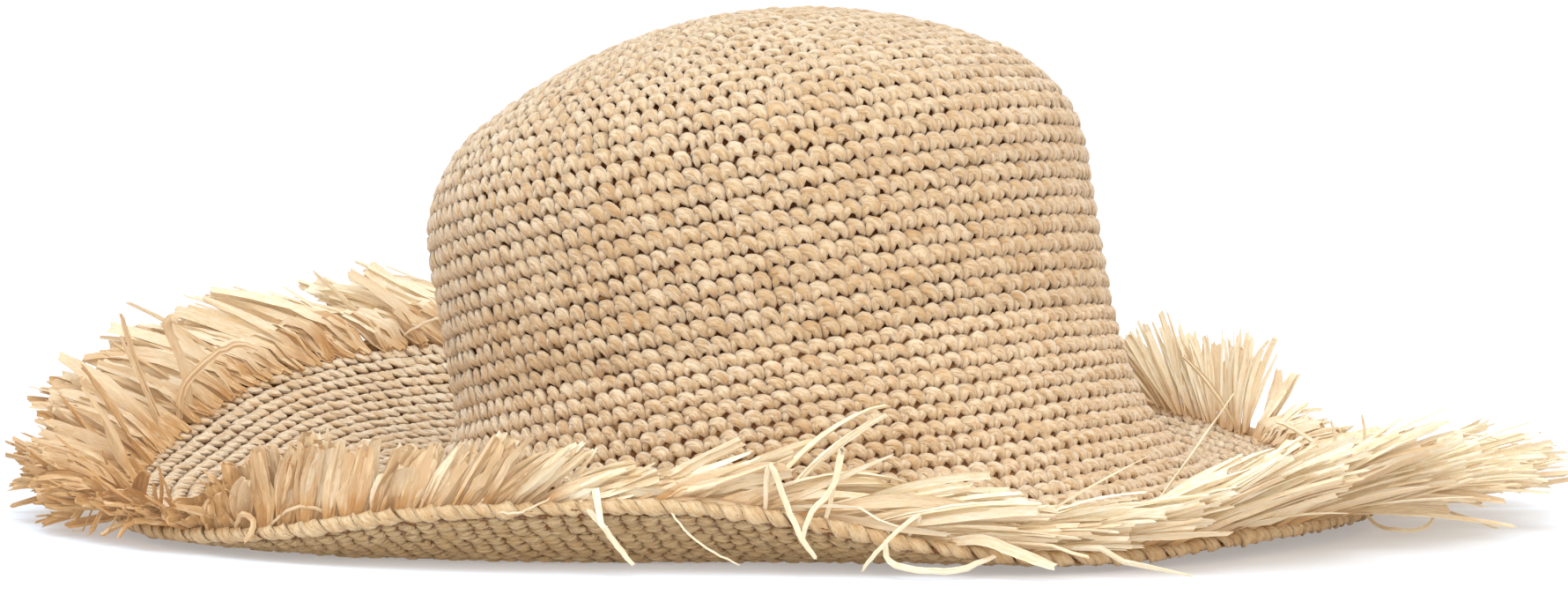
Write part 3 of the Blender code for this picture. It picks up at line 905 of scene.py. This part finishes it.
def build_sweatband(ribbon, thread):
    """Ribbon, the tab over its ends and the row of stitches that holds it."""
    outer = CROWN_RADIUS - CROCHET_THICKNESS / 2 - GAP
    inner = outer - SWEATBAND_THICKNESS
    half_slit = SWEATBAND_SLIT / 2 / outer
    low, high = SWEATBAND_START, SWEATBAND_START + SWEATBAND_HEIGHT
    start, end = math.pi + half_slit, 3 * math.pi - half_slit
    band = ribbed_ribbon("sweatband_ribbon", start, end, outer, low, high, ribbon, "grosgrain_ribbon")
    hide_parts("sweatband")
    half = JOIN_WIDTH / 2 / (inner - GAP)
    ends = math.pi - half, math.pi + half
    tab_low, tab_high = low + 0.0005, high - 0.0005
    tab = ribbed_ribbon("sweatband_tab", *ends, inner - GAP, tab_low, tab_high, ribbon, "grosgrain_tab")
    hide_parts("sweatband_join")

    rng = np.random.default_rng(75)
    radius = inner - GAP - THREAD_RADIUS
    clear = (JOIN_WIDTH / 2 + 0.002) / radius
    span = math.tau - 2 * clear
    count = round(span * radius / THREAD_PITCH)
    t = np.linspace(0.0, 1.0, 6)[None]
    azimuth = math.pi + clear + (np.arange(count)[:, None] + 0.12 + 0.72 * t) * span / count
    bend = radius + 0.00035 * (1 - np.sin(math.pi * t)) + 0 * azimuth
    height = low + THREAD_HEIGHT + rng.normal(0, 0.00012, (count, 1)) + 0 * azimuth
    path = inside_crown(azimuth, bend, height)
    size = np.full(path.shape[:2], THREAD_RADIUS)
    points, _, _ = tubes_along(path, -outward(azimuth), size, size * 0.8, 7, rng)
    quads, triangles = tube_faces(count, 6, 7)
    stitches = add_piece("sweatband_thread", points, quads, triangles, thread, "sewing_thread")
    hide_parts("sweatband_stitching")
    return [band, tab, stitches]


# ---- fringe ----
def brim_tree():
    """Search tree over the brim's upper side, to keep the fringe above it."""
    step = 4
    grid = BRIM_GRID[::step, ::step]
    columns, rows = grid.shape[:2]
    faces = []
    for i in range(columns):
        here, there = i * rows, (i + 1) % columns * rows
        faces += [(here + k, here + k + 1, there + k + 1, there + k) for k in range(rows - 1)]
    return BVHTree.FromPolygons([tuple(p) for p in grid.reshape(-1, 3)], faces)


NEAR_BRIM = 0.010              # how close to the brim a point is before it can be moved
STRIP_LOWEST = 0.0009          # the lowest that the middle of a strip lies
STRAY_LOWEST = 0.0012          # the same for a strip that stands out of the fringe


def keep_above(path, clearance, tree):
    """Moves points out of the brim's upper side and off the table."""
    flat = path.reshape(-1, 3).copy()
    gaps = np.broadcast_to(clearance, path.shape[:2]).ravel()
    for index, (point, gap) in enumerate(zip(flat, gaps)):
        spot, normal, _, _ = tree.find_nearest(Vector(point), NEAR_BRIM)
        if spot is None:
            continue
        height = (Vector(point) - spot).dot(normal)
        if height < gap:
            flat[index] = point + np.array(normal) * (gap - height)
    flat[:, 2] = np.maximum(flat[:, 2], STRIP_LOWEST)
    return flat.reshape(path.shape)


SECTION_X = np.array([1.0, 0.5, 0.0, -0.5, -1.0, -0.5, 0.0, 0.5])
SECTION_SIDE = np.array([0.0, 1.0, 1.0, 1.0, 0.0, -1.0, -1.0, -1.0])


def strips(path, facing, half_width, rng, crease=0.35, thickness=0.00011, ragged=0.0012):
    """Closed, creased ribbons of leaf along paths, with ragged cut ends."""
    count, rings = path.shape[:2]
    tangent, across, rise = strand_axes(path, facing)
    fold = rng.normal(0.0, crease, (count, 1, 5))
    fold[..., [0, 4]] *= 0.5
    fold = fold + rng.normal(0.0, crease * 0.25, (count, rings, 5))
    order = np.array([4, 3, 2, 1, 0, 1, 2, 3])
    height = fold[..., order] * half_width[..., None] + SECTION_SIDE * thickness
    points = swept(path, across, rise, SECTION_X * half_width[..., None], height)
    notch = rng.uniform(-ragged, ragged, (count, 5))[:, order]
    points[:, -1] += notch[..., None] * tangent[:, -1][:, None]
    first = points[:, 0].mean(axis=1, keepdims=True)
    last = points[:, -1].mean(axis=1, keepdims=True)
    points = np.concatenate([points.reshape(count, -1, 3), first, last], axis=1)
    place = (SECTION_X * half_width[..., None]) / STITCH_UNIT
    return points, along_strands(path, place, rng)


STRIP_HALF_WIDTH = 0.00140
TUFT_HALF_WIDTH = 0.0027
ROOT_INSET = 0.0034
ROOT_LIFT = 0.0012


def fringe_paths(rng):
    """Paths, facing directions, half widths and painted shade of every strip, by tuft."""
    tufts = FRINGE_GROUPS * TUFTS_PER_GROUP
    each = (tufts, STRIPS_PER_TUFT)
    rings = 9
    t = np.linspace(0.0, 1.0, rings)[None, None, :, None]
    start = (np.arange(tufts)[:, None] + 0.5 + rng.uniform(-0.16, 0.16, (tufts, 1))) * RIM_LENGTH / tufts
    place = rng.uniform(-1.0, 1.0, each + (1,))
    layer = rng.uniform(-1.0, 1.0, each + (1,))
    tuft_width = around(FRINGE_LIE, on_rim(start)[3])[..., 5]
    gathered = np.interp(tuft_width, [1.1, 1.35, 1.8], [1.0, 0.66, 0.42])
    middle, out, upper, azimuth = on_rim(start + place[..., 0] * TUFT_HALF_WIDTH * gathered)
    lie = around(FRINGE_LIE, azimuth)
    unruly, wide = lie[..., 4:5], lie[..., 5]
    tuft_way = unit(unit(lie[..., :3]) + rng.normal(0.0, (0.09, 0.08, 0.07), (tufts, 1, 3)))
    sideways = unit(np.cross(upper, tuft_way))
    sideways = sideways * np.sign((sideways * np.cross(upper, out)).sum(-1, keepdims=True))
    face = unit(np.cross(tuft_way, sideways))
    face = face * np.sign((face * upper).sum(-1, keepdims=True))
    fan = place * 0.11 * gathered[..., None] + rng.normal(0.0, 0.035, each + (1,))
    rise = layer * 0.055 + rng.normal(0.0, 0.02, each + (1,))
    stray = (rng.random(each + (1,)) < 0.05 + unruly) * rng.normal(0.0, 1.0, each + (3,))
    way = unit(tuft_way + fan * sideways + rise * face + stray * (0.16 + unruly))
    way[..., 2] = np.maximum(way[..., 2], -0.10)
    way = unit(way)
    length = lie[..., 3:4] / 1000 * rng.normal(1.0, 0.08, (tufts, 1, 1))
    length = length * np.clip(rng.normal(0.95, 0.09, each + (1,)), 0.6, 1.08)
    length = length * np.where(rng.random(each + (1,)) < 0.18, rng.uniform(0.5, 0.9, each + (1,)), 1.0)
    inset = ROOT_INSET + 0.0010 * layer + rng.uniform(-0.0008, 0.0022, each + (1,))
    root = middle + (ROOT_LIFT + 0.0006 * layer) * upper - out * inset
    bow = rng.normal(0.0, 0.035, (tufts, 1, 3))
    bow = bow + rng.normal(0.0, 1.0, each + (3,)) * (0.018 + 0.30 * unruly)
    knee = root + (way * 0.48 + upper * 0.07 + out * 0.03 + bow) * length
    tip = root + way * length
    path = (1 - t) ** 2 * root[:, :, None] + 2 * (1 - t) * t * knee[:, :, None] + t ** 2 * tip[:, :, None]
    roll = rng.normal(0.0, 0.40, each + (1, 1)) + rng.normal(0.0, 0.35, each + (1, 1)) * t
    facing = np.cos(roll) * face[:, :, None] + np.sin(roll) * sideways[:, :, None]
    size = np.clip(rng.lognormal(math.log(STRIP_HALF_WIDTH), 0.42, each) * wide, 0.0003, 0.0036)
    profile = np.interp(t[0, 0, :, 0], [0.0, 0.15, 0.45, 0.80, 1.0], [0.45, 0.66, 0.97, 1.0, 0.95])
    point = rng.uniform(0.0, 0.75, each + (1,)) * np.clip(t[..., 0] * 2.5 - 1.5, 0.0, 1.0)
    profile = profile * (1.0 - point)
    # Painted shade: the table's amount, and more for strips in the tuft's lower layers, which lie under
    # the others.
    shade = lie[..., 6:7] + 0.10 * np.clip(-layer, 0, 1)
    return path, facing, size[..., None] * profile, shade


def build_strays(material):
    """Single strips that stand up, hang down or lie bent beside the fringe."""
    rng = np.random.default_rng(91)
    rings = 16
    paths, widths = [], []
    for degrees, half_width, steps in STRAYS:
        turn = (math.radians(degrees) / math.tau * RIM_STEPS) % RIM_STEPS
        root = RIM_MIDDLE[int(turn)] + 0.002 * RIM_UPPER[int(turn)]
        controls = np.concatenate([[root], root + np.array(steps) / 1000])
        path = blend_weights(len(controls), rings) @ controls
        path[1:-1] += rng.normal(0.0, 0.00012, (rings - 2, 3))
        path[:, 2] = np.maximum(path[:, 2], STRAY_LOWEST)
        paths.append(path)
        profile = np.interp(np.linspace(0, 1, rings), [0.0, 0.3, 0.8, 1.0], [0.7, 1.0, 0.95, 0.6])
        widths.append(profile * half_width / 1000)
    path, half_width = np.array(paths), np.array(widths)
    tangent = unit(np.gradient(path, axis=1))
    facing = unit(np.cross(tangent, np.cross(np.array([0.15, -1.0, 0.25]), tangent)))
    points, strand = strips(path, facing, half_width, rng, 0.30, 0.00016, 0.0008)
    quads, triangles = tube_faces(len(path), rings, 8)
    tone = tones(points, 0.8, rng)
    # Painted shade: each stray takes the fringe's painted shade at its azimuth and a little more.
    shade = 0.03 + around(FRINGE_LIE, np.radians([stray[0] for stray in STRAYS]))[:, 6]
    values = fibre_values(strand, tone, np.repeat(-shade, points.shape[1]))
    return [add_piece("loose_strips", points, quads, triangles, material, "raffia_fringe", values, 38)]


def build_fringe(material):
    rng = np.random.default_rng(81)
    tree = brim_tree()
    path, facing, half_width, shade = fringe_paths(rng)
    tufts, each, rings = path.shape[:3]
    gap = 0.0022 + rng.uniform(0.0, 0.0030, (tufts * each, 1))
    t = np.linspace(0.0, 1.0, rings)[None]
    path = keep_above(path.reshape(-1, rings, 3), gap * np.clip(t * 4, 0.2, 1.0), tree)
    points, strand = strips(path, facing.reshape(-1, rings, 3), half_width.reshape(-1, rings), rng)
    size = points.shape[1]
    tuft_tone = rng.normal(0.0, 0.6, (tufts, 1))
    tone = (tuft_tone + rng.normal(0.0, 0.8, (tufts, each))).reshape(-1, 1)
    tone = np.repeat(tone, size, axis=1)
    # Painted shade, darker towards each strip's root and added to the strip's own painted shade.
    root_share = np.repeat(1.0 - np.linspace(0.0, 1.0, rings), 8)
    root_share = np.concatenate([root_share, [1.0, 0.0]])
    depth = -0.15 * np.clip(root_share * 2.4 - 1.4, 0, 1) - shade.reshape(-1, 1)
    pieces = []
    per_group = TUFTS_PER_GROUP * each
    quads, triangles = tube_faces(per_group, rings, 8)
    for group in range(FRINGE_GROUPS):
        some = slice(group * per_group, (group + 1) * per_group)
        values = fibre_values(strand[some], tone[some], depth[some])
        name = f"fringe_strips_{group + 1:02d}"
        piece = add_piece(name, points[some], quads, triangles, material, "raffia_fringe", values, 38)
        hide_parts(f"fringe_{group + 1:02d}")
        pieces.append(piece)
    return pieces


# ---- stage ----
def make_floor():
    mesh = bpy.data.meshes.new("floor")
    size = 12.0
    corners = [(-size, -size, 0.0), (size, -size, 0.0), (size, size, 0.0), (-size, size, 0.0)]
    mesh.from_pydata(corners, [], [(0, 1, 2, 3)])
    nodes = Nodes("floor")
    fill(nodes.shader, {
        "Base Color": (0.60, 0.615, 0.645, 1.0),
        "Emission Color": (1.0, 1.0, 1.0, 1.0),
        "Emission Strength": 0.30,
        "Roughness": 1.0,
        "Specular IOR Level": 0.0,
    })
    mesh.materials.append(nodes.material)
    floor = new_object("floor", mesh)


def add_light(name, location, target, size, power, colour=(1.0, 1.0, 1.0)):
    data = bpy.data.lights.new(name, "AREA")
    data.shape = "DISK"
    data.size = size
    data.energy = power
    data.color = colour
    light = new_object(name, data)
    light.location = location
    way = Vector(target) - Vector(location)
    light.rotation_euler = way.to_track_quat("-Z", "Y").to_euler()


def make_light():
    world = bpy.data.worlds.new("studio")
    bpy.context.scene.world = world
    world.use_nodes = True
    fill(world.node_tree.nodes["Background"], {"Color": (1.0, 1.0, 1.0, 1.0), "Strength": 1.22})
    add_light("key", (0.15, -1.00, 1.45), (0.0, 0.0, 0.05), 0.9, 6.5)
    add_light("top", (-0.50, -0.25, 1.45), (-0.05, 0.0, 0.05), 0.8, 10.5, (0.40, 0.70, 1.0))
    add_light("fill", (0.0, -1.7, 0.40), (0.0, 0.0, 0.03), 1.2, 5.0)
    bpy.context.scene.view_settings.view_transform = "Standard"


# ---- build ----
remove_everything()
make_camera()
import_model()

CROCHET = fibrous(
    "raffia_crochet", (0.72, 0.56, 0.38), (0.62, 0.44, 0.245), (0.49, 0.275, 0.11), (0.13, 0.045, 0.012),
    sheen=0.35, painted_glow=0.03, painted_glow_colour=(1.0, 0.42, 0.08),
)
# Painted light: the brim's raffia is a lighter copy of the crown's, as if the brim were lit more
# strongly.
BRIM_FACE_LIT_COPY = fibrous(
    "raffia_brim_face_lit_copy",
    (0.79, 0.635, 0.445), (0.695, 0.51, 0.305), (0.56, 0.325, 0.14), (0.34, 0.15, 0.05),
    sheen=0.35, painted_glow=0.04, painted_glow_colour=(1.0, 0.42, 0.08),
)
UNDERSIDE = fibrous(
    "raffia_underside", (0.63, 0.45, 0.25), (0.55, 0.38, 0.195), (0.49, 0.29, 0.12), (0.36, 0.17, 0.06),
    painted_glow=0.02,
)
# Painted shade: near-black raffia for the layers that show through the gaps between stitches, lighter on
# the brim.
CORE_PAINTED_SHADE = fibrous(
    "raffia_core_painted_shade", (0.12, 0.045, 0.014), (0.11, 0.038, 0.012), (0.10, 0.034, 0.010), (0.08, 0.025, 0.007),
    specular=0.0,
)
BRIM_CORE_PAINTED_SHADE = fibrous(
    "raffia_brim_core_painted_shade", (0.25, 0.11, 0.04), (0.24, 0.10, 0.035), (0.22, 0.09, 0.03), (0.20, 0.08, 0.03),
    specular=0.0,
)
EDGE = fibrous(
    "raffia_edge", (0.70, 0.52, 0.31), (0.60, 0.41, 0.22), (0.52, 0.30, 0.13), (0.46, 0.23, 0.085),
    painted_glow=0.03,
)
FRINGE = fibrous(
    "raffia_fringe", (0.84, 0.78, 0.62), (0.81, 0.70, 0.50), (0.78, 0.59, 0.36), (0.48, 0.25, 0.09),
    specular=0.2, fibres=8.0, relief=0.0003, painted_glow=0.085, painted_glow_colour=(1.0, 0.76, 0.44),
)
RIBBON = fibrous(
    "grosgrain", (0.72, 0.63, 0.49), (0.70, 0.60, 0.46), (0.68, 0.58, 0.44), (0.60, 0.50, 0.38),
    roughness=0.8, specular=0.2,
)
THREAD = fibrous(
    "thread", (0.80, 0.74, 0.62), (0.78, 0.72, 0.60), (0.76, 0.70, 0.58), (0.70, 0.62, 0.50),
    roughness=0.7, specular=0.3,
)

pieces = build_crown(CROCHET, CORE_PAINTED_SHADE, UNDERSIDE)
pieces += build_brim(BRIM_FACE_LIT_COPY, BRIM_CORE_PAINTED_SHADE, UNDERSIDE)
pieces += build_edge_round(EDGE)
pieces += build_sweatband(RIBBON, THREAD)
pieces += build_fringe(FRINGE)
pieces += build_strays(FRINGE)
for piece in pieces:
    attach(piece, "root")

make_floor()
make_light()
